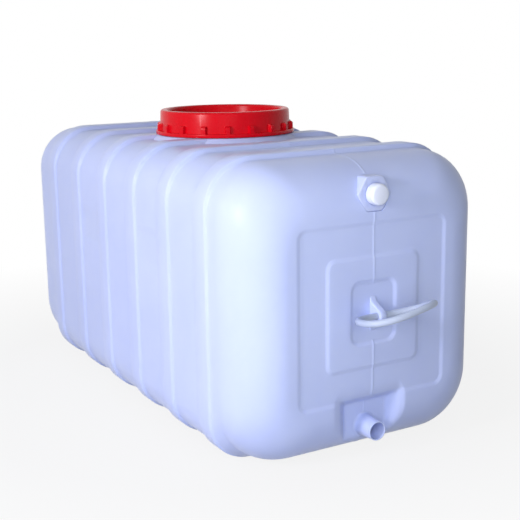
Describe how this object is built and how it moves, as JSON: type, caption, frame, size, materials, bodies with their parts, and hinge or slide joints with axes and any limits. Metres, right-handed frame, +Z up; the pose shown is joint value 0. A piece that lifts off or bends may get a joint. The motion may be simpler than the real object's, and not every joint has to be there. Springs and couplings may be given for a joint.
{
  "type": "fresh water tank",
  "caption": "Long blow-moulded plastic water tank with raised hoops, a wide screw lid on top, a capped vent fitting and an outlet spigot on one end, and a swinging ring handle at each end.",
  "frame": {"origin": "on the surface that the tank stands on, under the middle of the tank and the axis of its lid", "axes": "+X along the tank, towards the end with the outlet and the vent; +Z up along the axis of the lid"},
  "size_m": [1.2218, 0.495, 0.5601],
  "materials": {
    "shell": "satin bluish-white polyethylene",
    "lid": "glossy red polypropylene",
    "fitting": "white moulded polypropylene",
    "handle": "white moulded plastic rod",
    "rubber": "black moulded rubber",
    "foam": "grey closed-cell sealing disc"
  },
  "bodies": {
    "tank": {"tank_shell": "shell", "vent_fitting": "fitting", "vent_washer": "rubber", "vent_lock_nut": "fitting"},
    "lid_gasket": {"lid_gasket": "rubber"},
    "lid": {"lid": "lid"},
    "vent_cap_seal": {"vent_cap_seal": "foam"},
    "vent_cap": {"vent_cap": "fitting"},
    "front_handle": {"front_handle": "handle"},
    "rear_handle": {"rear_handle": "handle"}
  },
  "joints": [
    {"name": "lid_lift", "type": "slide", "parent": "tank", "child": "lid_gasket", "axis": [0, 0, 1], "range_m": [0, 0.042]},
    {"name": "lid_turn", "type": "hinge", "parent": "lid_gasket", "child": "lid", "pos_m": [0, 0, 0.5135], "axis": [0, 0, 1], "range_deg": [0, 1260]},
    {"name": "vent_cap_draw", "type": "slide", "parent": "tank", "child": "vent_cap_seal", "axis": [1, 0, 0], "range_m": [0, 0.01633]},
    {"name": "vent_cap_turn", "type": "hinge", "parent": "vent_cap_seal", "child": "vent_cap", "pos_m": [0.5124, 0, 0.4505], "axis": [1, 0, 0], "range_deg": [0, 3240]},
    {"name": "front_handle_swing", "type": "hinge", "parent": "tank", "child": "front_handle", "pos_m": [0.5155, 0, 0.253], "axis": [0, 1, 0], "range_deg": [-74, 106]},
    {"name": "rear_handle_swing", "type": "hinge", "parent": "tank", "child": "rear_handle", "pos_m": [-0.5155, 0, 0.253], "axis": [0, -1, 0], "range_deg": [-74, 106]}
  ],
  "couplings": [
    {"joint": "lid_lift", "follows": "lid_turn", "m_per_rad": 0.0019099},
    {"joint": "vent_cap_draw", "follows": "vent_cap_turn", "m_per_rad": 0.00028871}
  ]
}
